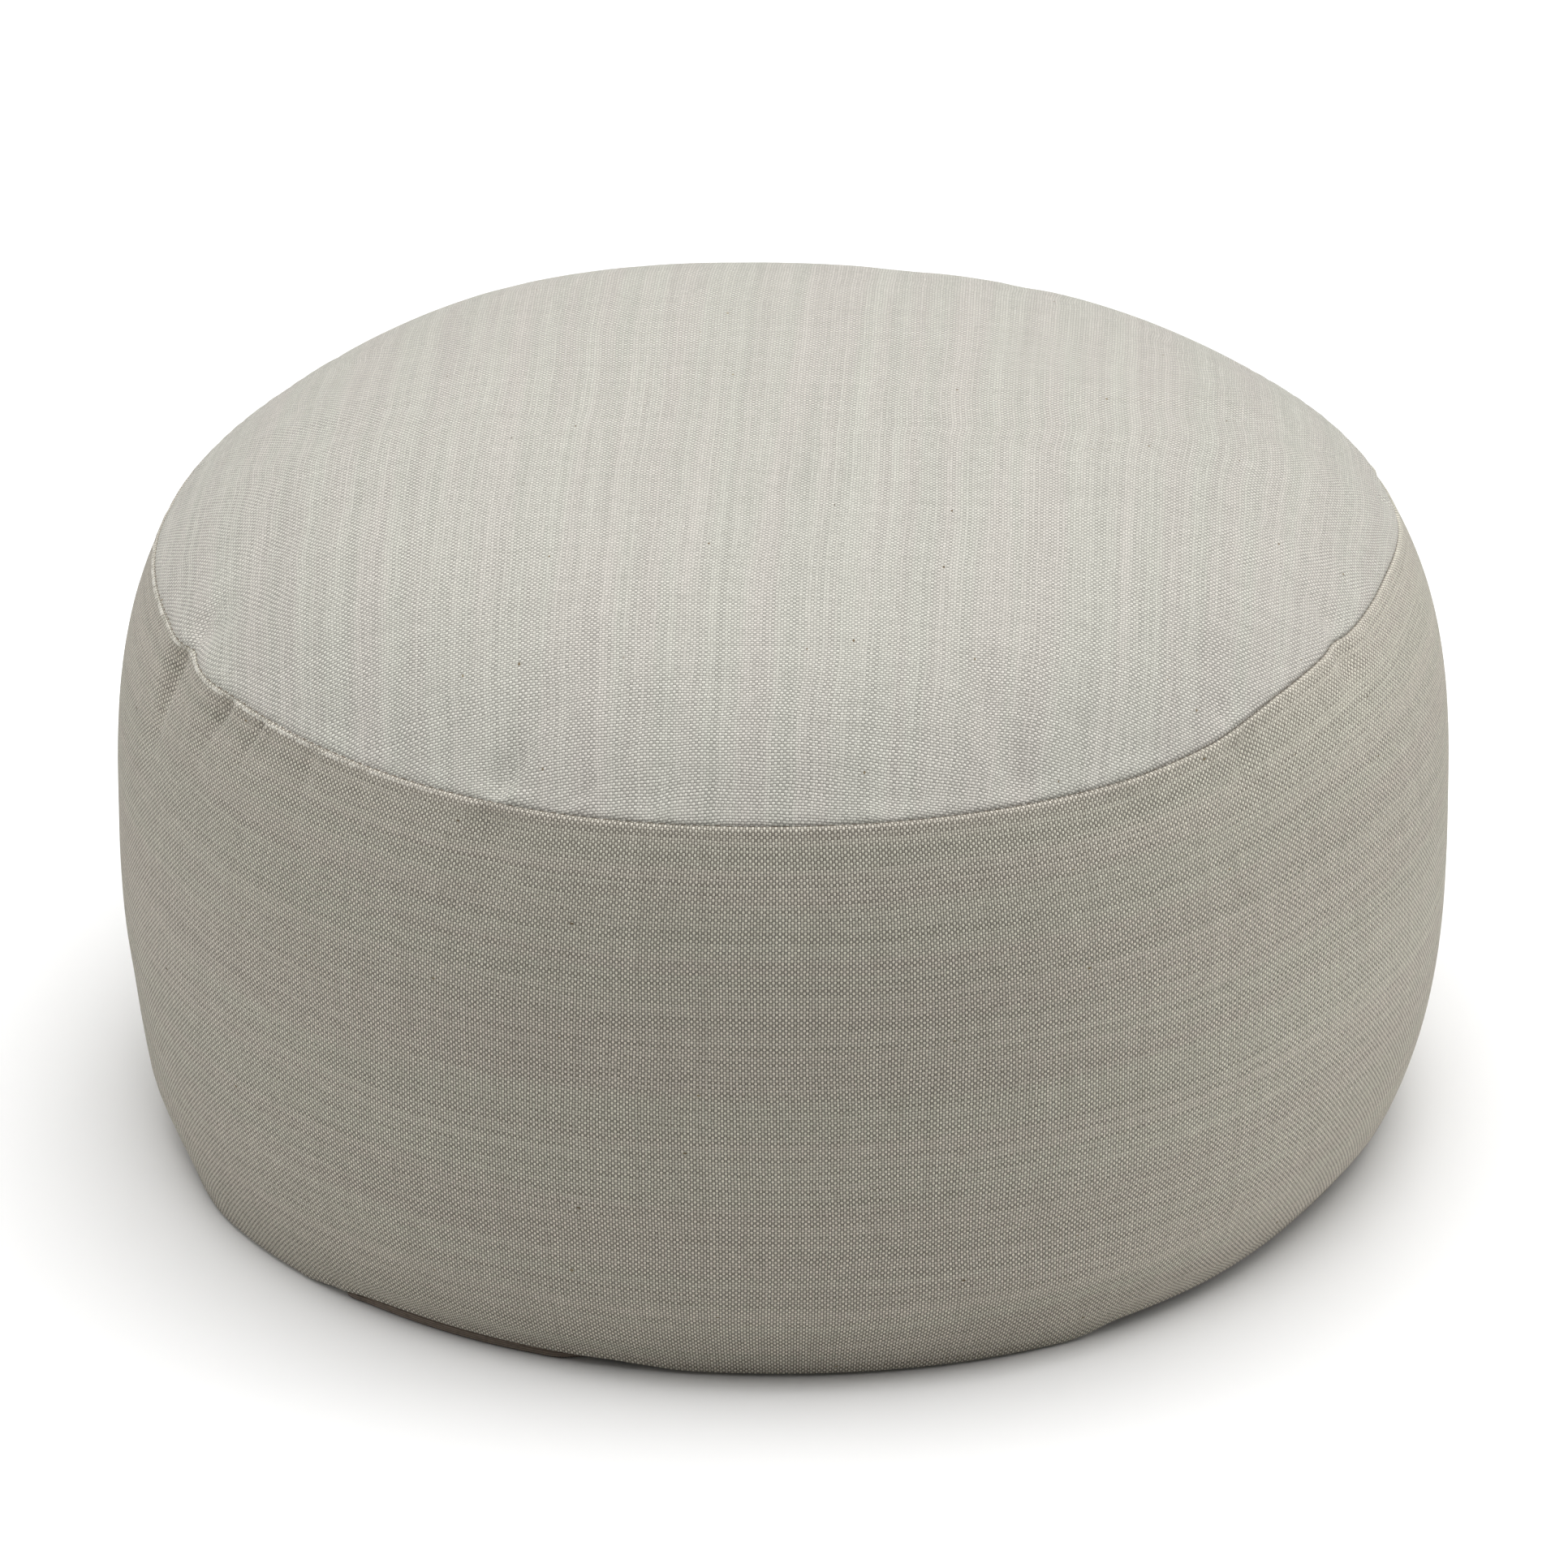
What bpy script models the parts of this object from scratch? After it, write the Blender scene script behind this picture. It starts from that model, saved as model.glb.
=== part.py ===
"""Zafu meditation cushion: one filled drum of linen canvas on a base panel of darker cloth.

Metres, +Z up, origin at the middle of the flat base. Azimuths are in degrees, anticlockwise
seen from above, and the front is at 270.
"""
import math

import bmesh
import bpy
import numpy as np

MM = 0.001

# Driving sizes of the mean turned form
TOTAL_HEIGHT = 197 * MM
SEAM_HEIGHT = 164 * MM
SEAM_RADIUS = 166.5 * MM
BELLY_HEIGHT = 92 * MM
BELLY_RADIUS = 180 * MM
FOOT_RADIUS = 165 * MM
CROWN_FULLNESS = 4.6
SHOULDER_FULLNESS = 2.75
FOOT_FULLNESS = 3.2

# The base panel, and the gap that parts it from the filled body
BASE_THICKNESS = 3.0 * MM
BASE_EDGE_RADIUS = 1.2 * MM
PIECE_GAP = 0.3 * MM

# The band's hem turns in under the foot, outside the base panel's edge
HEM_HEIGHT = 0.5 * MM
HEM_CORNER_RADIUS = 1.6 * MM
HEM_WIDTH = 4.6 * MM
HEM_INNER_SLOPE = 0.7 * MM
HEM_LIFT_FADES_AT = 14 * MM

# The top seam: a fine crease with the band's turned edge just proud under it.
# Below that edge the band is drawn in a little.
SEAM_CREASE_DEPTH = 1.5 * MM
SEAM_CREASE_WIDTH = 0.9 * MM
SEAM_LIP_HEIGHT = 0.35 * MM
SEAM_LIP_BELOW = 1.3 * MM
BAND_PROPER_BELOW = 3.9 * MM
SEAM_PINCH_DEPTH = 0.3 * MM
SEAM_PINCH_REACH = 11 * MM
SEAM_HOLDS_WITHIN = 4 * MM

# Facets round the turned forms, and where their profiles have points: shares of the seam's or the
# foot's radius, and heights in millimetres
SEGMENTS = 160
CROWN_SHARES = (0.0, 0.16, 0.32, 0.47, 0.6, 0.7, 0.78, 0.85, 0.9, 0.94, 0.97)
BAND_HEIGHTS = (154, 146, 136, 124, 110, 92, 74, 58, 45, 34, 25, 17, 10)
HEM_CORNER_DEGREES = (0, 45, 90)
MIDDLE_SHARE = 0.55
SEAM_MERGES_WITHIN = 0.05 * MM
POINTS_MERGE_WITHIN = 0.01 * MM

# How fast the seam's lift dies out toward the foot, and a crown lump toward the seam
LIFT_FADE = 4
LUMP_FADE = 6

# Edges turned by more than this stay crisp, in degrees
CUSHION_CRISP_ABOVE = 30
BASE_CRISP_ABOVE = 40

# How far the sewn cover departs from the mean form, in millimetres
# azimuth, seam_lift, seam_out, belly_out, foot_out
COVER_ROWS = (
    (0, 3.0, 0.0, 0.6, 0.7),
    (10, 2.9, -1.2, 0.4, 0.6),
    (30, 2.4, -1.6, 0.1, 0.5),
    (60, 1.6, 0.2, 0.1, 0.5),
    (90, -1.0, -0.4, -0.1, 0.0),
    (120, 2.4, 1.8, -0.4, -0.7),
    (150, -1.6, -0.6, -1.2, -1.6),
    (170, -3.0, -0.4, -1.6, -1.6),
    (180, -3.2, 0.7, -1.7, -1.6),
    (196, -3.4, 1.3, -1.7, 0.0),
    (210, -4.1, 1.8, -1.5, 3.5),
    (240, -4.8, 1.1, -0.5, 3.4),
    (270, -3.3, 0.8, -0.1, 0.9),
    (300, -3.0, 0.9, 0.5, 1.4),
    (312, -1.4, 0.3, 0.6, 0.0),
    (322, 2.7, -1.0, 0.7, -2.0),
    (330, 3.8, -1.6, 0.8, -3.0),
    (347, 3.5, -2.0, 0.7, -1.2),
)

# Height of the hem's underside above the floor, in millimetres: lifted, it bares the base panel's edge
# azimuth, height
HEM_ROWS = (
    (0, 1.6),
    (60, 0.6),
    (120, 1.2),
    (190, 0.6),
    (222.7, 0.6),
    (225, 3.3),
    (254.2, 3.3),
    (262, 0.8),
    (297, 0.5),
    (303, 3.0),
    (338, 3.0),
    (346, 1.6),
)

# How far inside the foot the base panel's edge lies, in millimetres
# azimuth, inset
BASE_ROWS = (
    (0, 6.2),
    (90, 6.2),
    (180, 6.2),
    (225, 6.2),
    (227.2, 0.9),
    (249.8, 0.9),
    (254.2, 6.0),
    (290, 6.2),
    (320, 6.0),
)

# Soft rolls and hollows of the filling, in millimetres and degrees (out is negative for a hollow)
# azimuth, height, out, width_deg, tall
BAND_ROLLS = (
    (286, 24, 2.4, 18, 12),
    (262, 26, 1.4, 14, 11),
    (188, 44, -0.9, 14, 15),
    (188, 15, 1.0, 12, 9),
    (205, 118, -1.2, 9, 30),
    (318, 120, -1.4, 10, 26),
    (338, 70, 0.9, 14, 30),
    (128, 60, 1.6, 26, 26),
    (70, 44, 1.4, 24, 18),
    (20, 112, -1.0, 14, 28),
)

# Low lumps and dips of the crown, in millimetres, placed by distance from the middle
# azimuth, from_middle, up, size
CROWN_LUMPS = (
    (103, 112, 1.4, 38),
    (70, 122, -1.2, 26),
    (232, 104, 1.0, 38),
    (300, 96, -1.0, 30),
    (182, 92, 0.8, 34),
    (352, 104, 0.8, 32),
)

# Where the seam jogs: the seam rises and goes in, in millimetres, over a few degrees
# azimuth, up, inward, width_deg
SEAM_KINKS = (
    (199.4, -0.4, -0.6, 2.6),
    (202.6, 0.4, 1.8, 1.8),
    (207.8, -0.3, -1.3, 3.4),
    (332.8, 0.4, 1.3, 1.9),
)

# Puckers that run away from the top seam, in millimetres and degrees
# panel, azimuth, reach, width, depth, lean_deg
PUCKERS = (
    ("top", 202.5, 20, 5, 2.0, -3),
    ("top", 226, 16, 6, 0.8, 2),
    ("top", 244.2, 22, 6, 1.8, 1),
    ("top", 259, 24, 7, 0.8, 0),
    ("top", 280, 24, 7, 0.8, 1),
    ("top", 292, 44, 8, 1.4, 0),
    ("top", 315, 24, 6, 1.4, 3),
    ("top", 335.3, 20, 5, 1.3, -1),
    ("top", 10, 14, 5, 0.6, 0),
    ("top", 62, 28, 8, 0.7, 0),
    ("top", 98, 22, 7, 0.6, -2),
    ("band", 201.2, 32, 5, 2.6, -2),
    ("band", 212.3, 22, 5, 1.8, -3),
    ("band", 218, 13, 5, 1.3, -2),
    ("band", 224.2, 20, 6, 0.9, 0),
    ("band", 244, 34, 8, 1.4, 1),
    ("band", 302, 18, 6, 1.1, 0),
    ("band", 316, 26, 6, 1.5, -4),
    ("band", 334, 12, 5, 1.2, -2),
    ("band", 12, 30, 7, 1.4, 2),
    ("band", 55, 24, 7, 1.3, -3),
    ("band", 104, 34, 8, 1.6, 3),
    ("band", 150, 24, 7, 1.2, -2),
)

LINEN_COLOUR = (0.47, 0.44, 0.37, 1.0)
BASE_COLOUR = (0.12, 0.10, 0.08, 1.0)


def clear_scene():
    """Removes every object that the file opened with."""
    for obj in list(bpy.data.objects):
        bpy.data.objects.remove(obj, do_unlink=True)


def cloth_material(name, colour):
    """A matt woven cloth of one colour."""
    material = bpy.data.materials.new(name)
    material.use_nodes = True
    shader = material.node_tree.nodes["Principled BSDF"]
    shader.inputs["Base Color"].default_value = colour
    shader.inputs["Roughness"].default_value = 0.92
    shader.inputs["Metallic"].default_value = 0.0
    return material


def round_the_clock(rows, column, azimuths):
    """Smooth values of one table column round the whole cushion, never past the rows on either side."""
    angles = np.array([row[0] for row in rows], float)
    values = np.array([row[column] for row in rows], float) * MM
    angles = np.concatenate([angles - 360, angles, angles + 360])
    values = np.tile(values, 3)
    climb = np.diff(values) / np.diff(angles)
    both = climb[1:] * climb[:-1]
    total = np.where(both > 0, climb[1:] + climb[:-1], 1.0)
    slopes = np.zeros(len(values))
    slopes[1:-1] = np.where(both > 0, 2 * both / total, 0.0)
    index = np.clip(np.searchsorted(angles, azimuths, side="right") - 1, 0, len(angles) - 2)
    span = angles[index + 1] - angles[index]
    t = (azimuths - angles[index]) / span
    start, end = values[index], values[index + 1]
    leave, arrive = slopes[index] * span, slopes[index + 1] * span
    return (
        start * (2 * t**3 - 3 * t**2 + 1)
        + leave * (t**3 - 2 * t**2 + t)
        + end * (3 * t**2 - 2 * t**3)
        + arrive * (t**3 - t**2)
    )


def angle_between(azimuths, centre):
    """Signed degrees from centre, between -180 and 180."""
    return (azimuths - centre + 180) % 360 - 180


def foot_share(height):
    """How much of a change at the foot is felt at this height."""
    return np.clip(1 - height / BELLY_HEIGHT, 0, 1) ** FOOT_FULLNESS


def shoulder_share(height):
    """How much of a change at the seam is felt at this height."""
    return np.clip((height - BELLY_HEIGHT) / (SEAM_HEIGHT - BELLY_HEIGHT), 0, 1) ** SHOULDER_FULLNESS


def band_radius(height):
    """Outer radius of the mean side band."""
    drawn_in_foot = (BELLY_RADIUS - FOOT_RADIUS) * foot_share(height)
    drawn_in_seam = (BELLY_RADIUS - SEAM_RADIUS) * shoulder_share(height)
    return BELLY_RADIUS - drawn_in_foot - drawn_in_seam


def crown_height(radius):
    """Height of the mean top panel."""
    rise = TOTAL_HEIGHT - SEAM_HEIGHT
    return SEAM_HEIGHT + rise * (1 - (radius / SEAM_RADIUS) ** CROWN_FULLNESS)


def cushion_profile():
    """Half section of the filled body, from the top of the crown down its outer side to the middle below."""
    points = []
    for share in CROWN_SHARES:
        radius = SEAM_RADIUS * share
        points.append((radius, crown_height(radius)))
    panel_edge = SEAM_RADIUS - SEAM_CREASE_WIDTH
    points.append((panel_edge, crown_height(panel_edge)))
    points.append((SEAM_RADIUS - SEAM_CREASE_DEPTH, SEAM_HEIGHT))
    lip_height = SEAM_HEIGHT - SEAM_LIP_BELOW
    points.append((band_radius(lip_height) + SEAM_LIP_HEIGHT, lip_height))
    below_lip = SEAM_HEIGHT - BAND_PROPER_BELOW
    points.append((band_radius(below_lip), below_lip))
    for height_mm in BAND_HEIGHTS:
        height = height_mm * MM
        points.append((band_radius(height), height))
    corner_height = HEM_HEIGHT + HEM_CORNER_RADIUS
    foot = band_radius(corner_height)
    for degrees in HEM_CORNER_DEGREES:
        turn = math.radians(degrees)
        inward = HEM_CORNER_RADIUS * (1 - math.cos(turn))
        points.append((foot - inward, corner_height - HEM_CORNER_RADIUS * math.sin(turn)))
    underside = BASE_THICKNESS + PIECE_GAP
    points.append((foot - HEM_WIDTH, HEM_HEIGHT))
    points.append((foot - HEM_WIDTH - HEM_INNER_SLOPE, underside))
    points.append((MIDDLE_SHARE * FOOT_RADIUS, underside))
    points.append((0.0, underside))
    return points


def base_profile():
    """Half section of the base panel, from the middle above to the middle below."""
    top = BASE_THICKNESS
    rim = FOOT_RADIUS
    inner = rim - BASE_EDGE_RADIUS
    return [
        (0.0, top),
        (MIDDLE_SHARE * rim, top),
        (inner, top),
        (rim, top - BASE_EDGE_RADIUS),
        (rim, BASE_EDGE_RADIUS),
        (inner, 0.0),
        (MIDDLE_SHARE * rim, 0.0),
        (0.0, 0.0),
    ]


def turned_object(name, profile, collection):
    """An object whose mesh is the profile turned round Z with a Screw modifier."""
    mesh = bpy.data.meshes.new(name + "_profile")
    edges = [(index, index + 1) for index in range(len(profile) - 1)]
    mesh.from_pydata([(radius, 0.0, height) for radius, height in profile], edges, [])
    guide = bpy.data.objects.new(name + "_profile", mesh)
    collection.objects.link(guide)
    screw = guide.modifiers.new("turn", "SCREW")
    screw.axis = "Z"
    screw.angle = math.tau
    screw.steps = SEGMENTS
    screw.render_steps = SEGMENTS
    screw.use_merge_vertices = True
    screw.merge_threshold = SEAM_MERGES_WITHIN
    graph = bpy.context.evaluated_depsgraph_get()
    turned = bpy.data.meshes.new_from_object(guide.evaluated_get(graph), depsgraph=graph)
    turned.name = name
    bpy.data.objects.remove(guide, do_unlink=True)
    weld = bmesh.new()
    weld.from_mesh(turned)
    bmesh.ops.remove_doubles(weld, verts=weld.verts, dist=POINTS_MERGE_WITHIN)
    weld.to_mesh(turned)
    weld.free()
    obj = bpy.data.objects.new(name, turned)
    collection.objects.link(obj)
    return obj


def read_points(mesh):
    points = np.empty(len(mesh.vertices) * 3, np.float32)
    mesh.vertices.foreach_get("co", points)
    return points.reshape(-1, 3).astype(float)


def write_points(mesh, points):
    mesh.vertices.foreach_set("co", points.astype(np.float32).ravel())
    mesh.update()


def read_normals(mesh):
    normals = np.empty(len(mesh.vertices) * 3, np.float32)
    mesh.vertices.foreach_get("normal", normals)
    return normals.reshape(-1, 3).astype(float)


def polar(points):
    """Distance from the axis, and azimuth in degrees."""
    radius = np.hypot(points[:, 0], points[:, 1])
    return radius, np.degrees(np.arctan2(points[:, 1], points[:, 0])) % 360


def make_uneven(points):
    """Moves the turned form onto the cover as it was sewn, row by row of COVER_ROWS and HEM_ROWS."""
    radius, azimuths = polar(points)
    height = points[:, 2].copy()
    seam_lift, seam_out, belly_out, foot_out = (
        round_the_clock(COVER_ROWS, column, azimuths) for column in (1, 2, 3, 4)
    )
    on_crown = height >= SEAM_HEIGHT
    underside = BASE_THICKNESS + PIECE_GAP
    under = (height < 1.2 * underside) & (radius < FOOT_RADIUS - HEM_CORNER_RADIUS)
    near_foot, near_seam = foot_share(height), shoulder_share(height)
    band_move = (
        foot_out * near_foot
        + seam_out * near_seam
        + belly_out * (1 - near_foot - near_seam)
    )
    inward = np.clip(radius / SEAM_RADIUS, 0, 1)
    move = np.where(on_crown, seam_out * inward, band_move)
    move = np.where(under, foot_out * radius / FOOT_RADIUS, move)
    seam_share = np.where(on_crown, inward**CROWN_FULLNESS, height / SEAM_HEIGHT)
    lift = np.where(under, 0.0, seam_lift * seam_share * (1 - foot_share(height) ** LIFT_FADE))
    for azimuth, roll_height, out, width, tall in BAND_ROLLS:
        across = angle_between(azimuths, azimuth) / width
        along = (height - roll_height * MM) / (tall * MM)
        roll = out * MM * np.exp(-(across**2) - along**2)
        move = move + np.where(on_crown | under, 0.0, roll)
    for azimuth, from_middle, up, size in CROWN_LUMPS:
        turn = math.radians(azimuth)
        away_x = points[:, 0] - from_middle * MM * math.cos(turn)
        away_y = points[:, 1] - from_middle * MM * math.sin(turn)
        lump = up * MM * np.exp(-(away_x**2 + away_y**2) / (size * MM) ** 2)
        lift = lift + np.where(on_crown, lump * (1 - inward**LUMP_FADE), 0.0)
    hem_raise = np.maximum(round_the_clock(HEM_ROWS, 1, azimuths) - HEM_HEIGHT, 0)
    hem_share = np.clip(1 - height / HEM_LIFT_FADES_AT, 0, 1) ** 2
    on_hem = radius > FOOT_RADIUS - HEM_WIDTH - 0.5 * HEM_INNER_SLOPE
    lowest = height <= HEM_HEIGHT + HEM_CORNER_RADIUS
    hem_share = np.where(lowest, 1.0, hem_share)
    lift = lift + np.where(on_hem, hem_raise * hem_share, 0.0)
    scale = (radius + move) / np.maximum(radius, 1e-9)
    moved = points.copy()
    moved[:, :2] *= np.where(radius > 0, scale, 1.0)[:, None]
    moved[:, 2] += lift
    return moved


def draw_in_seam(points, normals, mean_points):
    """Draws the band in under the top seam, jogs the seam, and sinks the puckers that run away from it."""
    radius, azimuths = polar(mean_points)
    height = mean_points[:, 2]
    away = np.hypot(SEAM_RADIUS - radius, height - SEAM_HEIGHT)
    on_crown = height > SEAM_HEIGHT
    on_band = (height < SEAM_HEIGHT) & (height > BELLY_HEIGHT / 2)
    held = 1 - np.exp(-((away / SEAM_HOLDS_WITHIN) ** 2))
    pinch = SEAM_PINCH_DEPTH * held * np.exp(-away / SEAM_PINCH_REACH)
    sink = np.where(on_band, pinch, 0.0)
    for panel, azimuth, reach, width, depth, lean in PUCKERS:
        on_panel = on_crown if panel == "top" else on_band
        swing = azimuth + lean * away / (reach * MM)
        across = np.radians(angle_between(azimuths, swing)) * SEAM_RADIUS / (width * MM)
        fade = held * np.exp(-((away / (reach * MM)) ** 2))
        sink = sink + np.where(on_panel, depth * MM * np.exp(-(across**2)) * fade, 0.0)
    moved = points - normals * sink[:, None]
    outward = mean_points / np.maximum(radius, 1e-9)[:, None]
    for azimuth, up, inward, width in SEAM_KINKS:
        share = np.exp(-((angle_between(azimuths, azimuth) / width) ** 2) - away / SEAM_PINCH_REACH)
        moved[:, :2] -= outward[:, :2] * (share * inward * MM)[:, None]
        moved[:, 2] += share * up * MM
    return moved


def finish(obj, material, crisp_above):
    obj.data.materials.append(material)
    obj.data.shade_smooth()
    obj.data.set_sharp_from_angle(angle=math.radians(crisp_above))


def build_filled_cushion(collection):
    """The filled body: crown, drawn-in top seam with its lip, bulging band and turned-under foot."""
    obj = turned_object("filled_cushion", cushion_profile(), collection)
    mean_points = read_points(obj.data)
    write_points(obj.data, make_uneven(mean_points))
    drawn = draw_in_seam(read_points(obj.data), read_normals(obj.data), mean_points)
    write_points(obj.data, drawn)
    finish(obj, cloth_material("oatmeal linen canvas", LINEN_COLOUR), CUSHION_CRISP_ABOVE)
    return obj


def build_base_panel(collection):
    """The round base panel of darker cloth, flat on the floor, its edge just inside the foot."""
    obj = turned_object("base_panel", base_profile(), collection)
    points = read_points(obj.data)
    radius, azimuths = polar(points)
    inset = round_the_clock(BASE_ROWS, 1, azimuths)
    foot_out = round_the_clock(COVER_ROWS, 4, azimuths)
    outer = radius / FOOT_RADIUS
    points[:, :2] *= (1 + (foot_out - inset) * outer**2 / FOOT_RADIUS)[:, None]
    write_points(obj.data, points)
    finish(obj, cloth_material("taupe ribbed base cloth", BASE_COLOUR), BASE_CRISP_ABOVE)
    return obj


def build():
    clear_scene()
    collection = bpy.data.collections.new("zafu_cushion")
    bpy.context.scene.collection.children.link(collection)
    build_filled_cushion(collection)
    build_base_panel(collection)


build()
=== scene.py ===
"""Looks of a round zafu cushion.

Slubby linen canvas over a full drum of filling, on a base panel of dark ribbed cloth.
"""
import math

import bmesh
import bpy
import numpy as np
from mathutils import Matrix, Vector, kdtree


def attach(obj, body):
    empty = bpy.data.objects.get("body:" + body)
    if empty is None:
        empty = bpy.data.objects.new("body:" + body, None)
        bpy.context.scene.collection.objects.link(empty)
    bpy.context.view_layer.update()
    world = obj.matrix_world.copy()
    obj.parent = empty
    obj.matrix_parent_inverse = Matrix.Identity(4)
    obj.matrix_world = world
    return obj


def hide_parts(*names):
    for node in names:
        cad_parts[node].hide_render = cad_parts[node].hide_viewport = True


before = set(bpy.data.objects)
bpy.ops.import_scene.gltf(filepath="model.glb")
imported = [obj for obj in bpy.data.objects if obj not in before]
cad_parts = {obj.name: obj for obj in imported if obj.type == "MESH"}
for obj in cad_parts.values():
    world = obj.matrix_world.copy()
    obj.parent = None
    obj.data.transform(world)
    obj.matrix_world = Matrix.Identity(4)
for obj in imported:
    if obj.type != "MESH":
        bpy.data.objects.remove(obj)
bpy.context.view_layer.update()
MM = 0.001

# The cover. A round top panel and one long side band of linen canvas, sewn together inside out, turned, and
# filled until the band bulges. They meet in a plain seam whose turned edge stands a little proud of the top.

COVER_SEGMENTS = 720
SEAM_RING = 11  # the solid's ring that lies in the seam's crease, counted from the top centre
HEM_RING = 29  # the solid's ring under the foot's outer corner
CREASE_KEPT = 0.1  # how much of the solid's wide crease the cloth keeps, under its own narrow one
LIP_KEPT = 0.3  # and how much of its turned edge


def rings_of(node):
    """The solid's rings of points from its top centre to its bottom centre, each a full turn from +X.

    It starts from the point at the solid's top centre, and leaves out rings shorter than the longest.
    """
    shell = bmesh.new()
    shell.from_mesh(node.data)
    bmesh.ops.remove_doubles(shell, verts=shell.verts, dist=0.02 * MM)
    poles = sorted(shell.verts, key=lambda corner: len(corner.link_edges))[-2:]
    ring = [max(poles, key=lambda corner: corner.co.z)]
    seen = set(ring)
    rings = []
    while ring:
        rings.append(np.array([tuple(corner.co) for corner in ring]))
        beside = {edge.other_vert(corner) for corner in ring for edge in corner.link_edges}
        ring = [corner for corner in beside if corner not in seen]
        seen.update(ring)
    shell.free()
    around = max(len(points) for points in rings)
    half_step = 180 / around
    table = [np.repeat(rings[0], around, axis=0)]
    for points in rings:
        if len(points) == around:
            turn = (np.degrees(np.arctan2(points[:, 1], points[:, 0])) + half_step) % 360
            table.append(points[np.argsort(turn)])
    bottom_centre = [[0.0, 0.0, rings[-1][:, 2].min()]]
    table.append(np.repeat(bottom_centre, around, axis=0))
    return np.array(table)


def eased(rows, at, wanted):
    """Rows of points given at the places at, read at the places wanted along one smooth curve."""
    slopes = np.gradient(rows, at, axis=0)
    index = np.clip(np.searchsorted(at, wanted, side="right") - 1, 0, len(at) - 2)
    shape = (-1,) + (1,) * (rows.ndim - 1)
    span = (at[index + 1] - at[index]).reshape(shape)
    t = ((wanted - at[index]) / span.ravel()).reshape(shape)
    return (
        rows[index] * (2 * t**3 - 3 * t**2 + 1)
        + slopes[index] * span * (t**3 - 2 * t**2 + t)
        + rows[index + 1] * (3 * t**2 - 2 * t**3)
        + slopes[index + 1] * span * (t**3 - t**2)
    )


def steps_between(start, end, first, last):
    """Places from start to end whose spacing grows or shrinks evenly from first to last."""
    count = max(2, int(round(2 * abs(end - start) / (first + last))))
    share = np.linspace(0, 1, count + 1)
    return start + (end - start) * (share * first + 0.5 * share**2 * (last - first)) / (0.5 * (first + last))


def around_evenly(lines, count):
    """The same closed lines with another number of points round, on smooth curves."""
    before = lines.shape[1]
    turn_at = np.arange(-3, before + 4)
    padded_lines = lines[:, turn_at % before].transpose(1, 0, 2)
    wanted = np.arange(count) * before / count
    return eased(padded_lines, turn_at.astype(float), wanted).transpose(1, 0, 2)


solid_rings = rings_of(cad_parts["filled_cushion"])
for ring, kept in ((SEAM_RING, CREASE_KEPT), (SEAM_RING + 1, LIP_KEPT)):
    before, after = solid_rings[ring - 1], solid_rings[ring + 1]
    gap_before = np.linalg.norm(solid_rings[ring] - before, axis=1)[:, None]
    gap_after = np.linalg.norm(after - solid_rings[ring], axis=1)[:, None]
    straight = (before * gap_after + after * gap_before) / (gap_before + gap_after)
    solid_rings[ring] = kept * solid_rings[ring] + (1 - kept) * straight
half_turn = np.roll(solid_rings[1], solid_rings.shape[1] // 2, axis=0)[None]
walk = np.linalg.norm(np.diff(solid_rings, axis=0), axis=2).mean(axis=1)
ring_at = np.concatenate([[0], np.cumsum(walk)])
seam_at = ring_at[SEAM_RING]
hem_at = ring_at[HEM_RING]
line_at = np.concatenate(
    [
        steps_between(1.5 * MM, seam_at - 12 * MM, 6.5 * MM, 2.4 * MM),
        steps_between(seam_at - 12 * MM, seam_at, 1.8 * MM, 0.16 * MM)[1:],
        steps_between(seam_at, seam_at + 12 * MM, 0.16 * MM, 1.8 * MM)[1:],
        steps_between(seam_at + 12 * MM, hem_at - 3 * MM, 2.4 * MM, 3.6 * MM)[1:],
        steps_between(hem_at - 3 * MM, hem_at + 8 * MM, 0.8 * MM, 1.4 * MM)[1:],
        steps_between(hem_at + 8 * MM, ring_at[-1] - 8 * MM, 14 * MM, 22 * MM)[1:],
    ]
)
full_rings = np.concatenate([half_turn, solid_rings])
coarse_lines = eased(full_rings, np.concatenate([[-ring_at[1]], ring_at]), line_at)
cover_lines = around_evenly(coarse_lines, COVER_SEGMENTS)
cover_azimuth = np.arange(COVER_SEGMENTS) * 360 / COVER_SEGMENTS
line_count = len(line_at)
seam_line = int(np.argmin(abs(line_at - seam_at)))
from_seam = (line_at - seam_at)[:, None]
on_band = from_seam > 0


def normals_of(lines):
    """Outward normals of a surface given as closed lines of points."""
    along = np.roll(lines, -1, axis=1) - np.roll(lines, 1, axis=1)
    down = np.gradient(lines, axis=0)
    outward = np.cross(down, along)
    return outward / np.maximum(np.linalg.norm(outward, axis=2), 1e-12)[:, :, None]


def angle_between(azimuths, centre):
    """Signed degrees from centre, between -180 and 180."""
    return (azimuths - centre + 180) % 360 - 180


def around_table(rows, column):
    """One column of a table of rows by azimuth, read at each of the cover's segments."""
    return np.interp(cover_azimuth, [row[0] for row in rows], [row[column] for row in rows], period=360)


# Cloth simulation of the filled cover: sewn fast at the seam and the foot, it swells under the filling, and
# the cloth that is a little too long for its seam ripples. What varies round the cushion is kept, up to
# WRINKLE_CAP.
SIMULATED_SCALE = 0.99
REMESHED_AT = 5 * MM
SEWN_WITHIN = 5 * MM
FOOT_HELD_BELOW = 9 * MM
EXTRA_WITHIN = 45 * MM
EXTRA_LEAST = 0.15
EXTRA_LENGTH = 0.045
FILLING_PRESSURE = 4.0
FILLING_STEPS = 20
POINTS_READ = 4
WRINKLE_CAP = 0.32 * MM
WRINKLE_GAIN = 1.0
WRINKLES_ROUND = (10, 90)


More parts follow.
